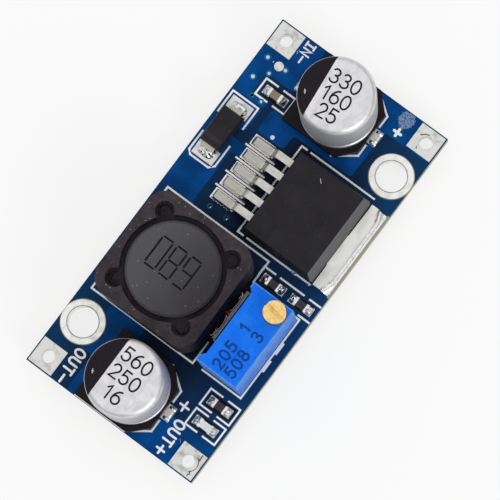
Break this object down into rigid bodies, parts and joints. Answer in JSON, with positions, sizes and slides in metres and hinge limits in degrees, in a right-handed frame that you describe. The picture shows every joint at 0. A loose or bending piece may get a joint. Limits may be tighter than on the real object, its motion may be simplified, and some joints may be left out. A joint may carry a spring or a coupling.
{
  "type": "buck converter module",
  "caption": "Rectangular blue circuit board that steps a direct voltage down, carrying can capacitors, a square inductor, a tabbed regulator and a screw-adjusted trimmer.",
  "frame": {"origin": "centre of the board on its underside, midway between the two mounting holes", "axes": "+X from the input end to the output end, +Y towards the edge with the positive pads, +Z out of the component side"},
  "size_m": [0.0436, 0.021, 0.014],
  "materials": {
    "blue_board": "blue solder mask over fibreglass laminate",
    "tinned_copper": "hot-tinned copper",
    "via_mask": "solder mask over plated holes",
    "legend_ink": "white board ink",
    "can_aluminium": "satin aluminium can",
    "can_ink": "black print",
    "base_plastic": "black moulded base",
    "tinned_lead": "tin-plated leads and terminals",
    "tab_metal": "tin-plated copper tab",
    "epoxy_black": "black moulding compound",
    "silicon": "polished silicon",
    "band_ink": "grey cathode band",
    "ferrite_core": "ground ferrite drum core",
    "ferrite_shield": "sintered ferrite shield",
    "copper_wire": "enamelled copper wire",
    "adhesive": "dark adhesive",
    "trimmer_blue": "bright blue moulded housing",
    "brass_screw": "brass adjusting screw",
    "seal_rubber": "rubber ring",
    "wheel_nylon": "moulded nylon wheel",
    "contact_metal": "spring contact",
    "element_ceramic": "ceramic element with a resistive track",
    "potting": "epoxy potting",
    "ceramic_tan": "tan ceramic",
    "resistor_black": "black glazed resistor",
    "led_white": "pale laminate",
    "led_clear": "milky green resin",
    "solder": "bright solder"
  },
  "bodies": {
    "board": {"circuit_board": "blue_board", "wire_pad_in_minus": "tinned_copper", "wire_pad_in_plus": "tinned_copper", "wire_pad_out_minus": "tinned_copper", "wire_pad_out_plus": "tinned_copper", "mounting_ring_in": "tinned_copper", "mounting_ring_out": "tinned_copper", "pin_pads": "tinned_copper", "copper_lands": "tinned_copper", "vias": "via_mask", "board_legend": "legend_ink", "input_can": "can_aluminium", "input_can_mark": "can_ink", "input_can_base": "base_plastic", "input_can_leads": "tinned_lead", "output_can": "can_aluminium", "output_can_mark": "can_ink", "output_can_base": "base_plastic", "output_can_leads": "tinned_lead", "regulator_body": "epoxy_black", "regulator_tab": "tab_metal", "regulator_leads": "tinned_lead", "regulator_die": "silicon", "diode_body": "epoxy_black", "diode_leads": "tinned_lead", "diode_band": "band_ink", "choke_core": "ferrite_core", "choke_winding": "copper_wire", "choke_shield": "ferrite_shield", "choke_base": "base_plastic", "choke_terminals": "tinned_lead", "choke_adhesive": "adhesive", "trimmer_housing": "trimmer_blue", "trimmer_seal": "seal_rubber", "trimmer_element": "element_ceramic", "trimmer_pins": "tinned_lead", "trimmer_potting": "potting", "ceramic_capacitor": "ceramic_tan", "divider_resistor_inner": "resistor_black", "divider_resistor_outer": "resistor_black", "led_resistor": "resistor_black", "led_base": "led_white", "led_lens": "led_clear", "chip_terminals": "tinned_lead", "solder_capacitors": "solder", "solder_regulator": "solder", "solder_diode": "solder", "solder_inductor": "solder", "solder_chips": "solder", "solder_trimmer": "solder"},
    "adjusting_screw": {"trimmer_screw": "brass_screw"},
    "wiper_wheel": {"trimmer_wheel": "wheel_nylon", "trimmer_wiper": "contact_metal"}
  },
  "joints": [
    {"name": "screw_turn", "type": "hinge", "parent": "board", "child": "adjusting_screw", "pos_m": [0.00352, 0.00795, 0], "axis": [0, 0, 1], "continuous": true},
    {"name": "wheel_turn", "type": "hinge", "parent": "board", "child": "wiper_wheel", "pos_m": [0.00742, 0.00795, 0.0067], "axis": [0, 1, 0], "continuous": true}
  ],
  "couplings": [
    {"joint": "wheel_turn", "follows": "screw_turn", "ratio": -0.035714}
  ]
}
